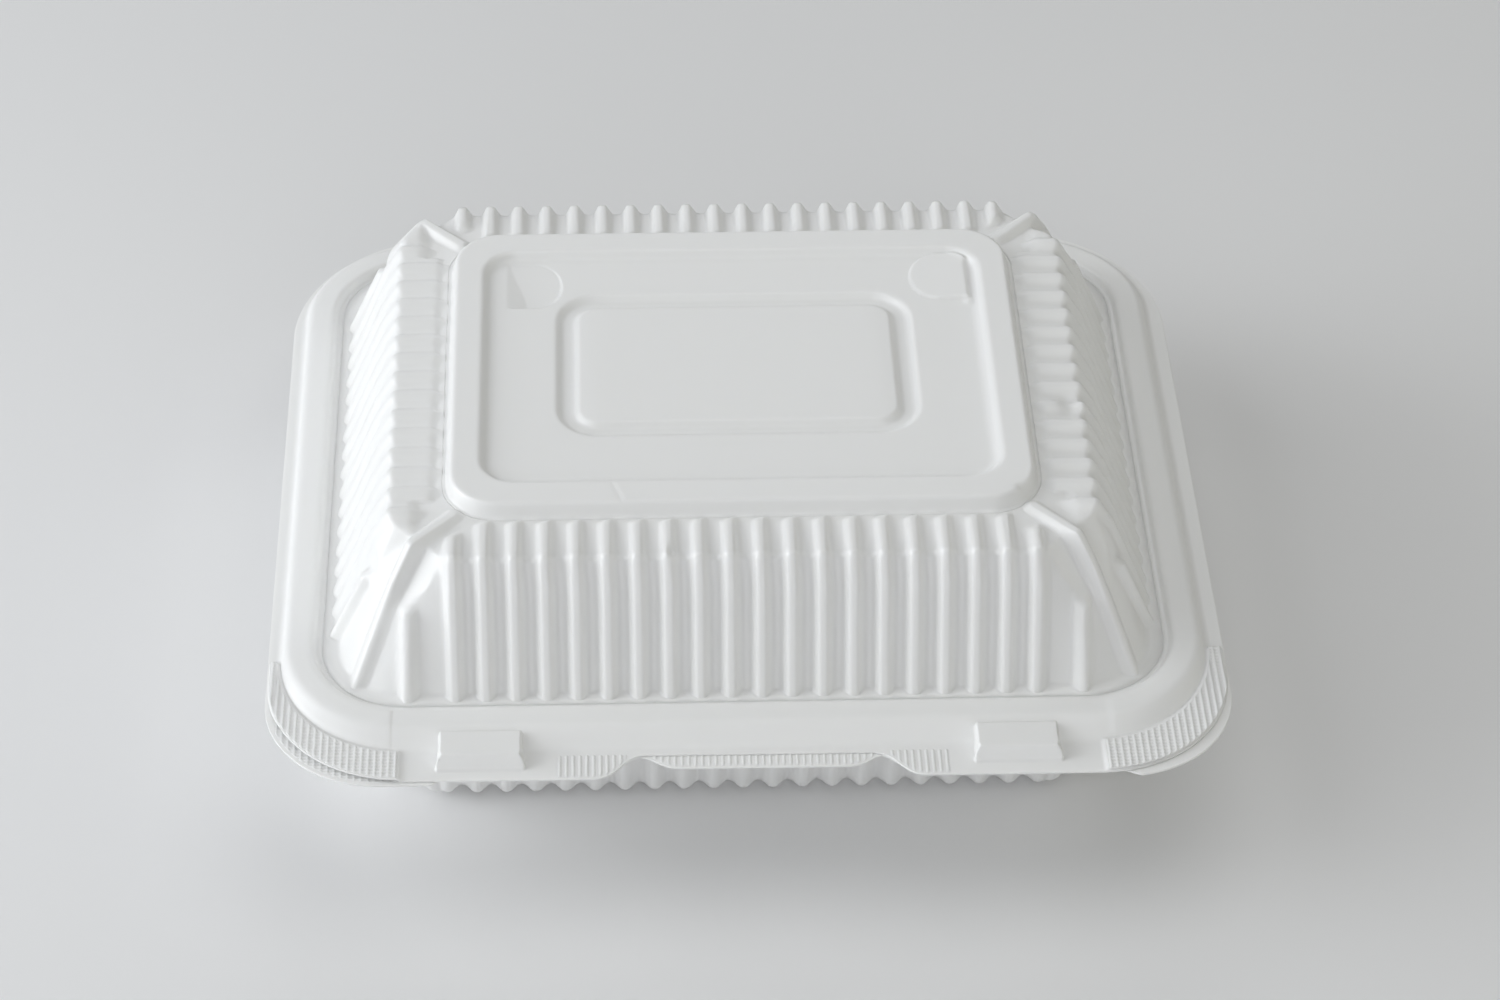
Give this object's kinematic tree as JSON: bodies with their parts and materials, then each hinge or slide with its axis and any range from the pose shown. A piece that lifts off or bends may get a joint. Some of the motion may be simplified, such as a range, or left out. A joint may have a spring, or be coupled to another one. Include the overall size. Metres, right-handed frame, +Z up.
{
  "type": "clamshell food container",
  "caption": "Ribbed white plastic clamshell takeaway container, closed, with a hinged domed lid, a sunken top panel, latches and finger pads at the front corners.",
  "frame": {"origin": "centre of the flat foot, where the container stands on the table", "axes": "+X to the right along the hinge, +Y towards the hinge at the back, +Z up"},
  "size_m": [0.2374, 0.217, 0.081],
  "materials": {
    "formed_sheet": "glossy, slightly translucent white thermoformed sheet"
  },
  "bodies": {
    "base": {"base_tray": "formed_sheet", "living_hinge": "formed_sheet"},
    "lid": {"lid": "formed_sheet"}
  },
  "joints": [
    {"name": "lid_fold", "type": "hinge", "parent": "base", "child": "lid", "pos_m": [0, 0.1031, 0.04225], "axis": [-1, 0, 0], "range_deg": [0, 180]}
  ]
}
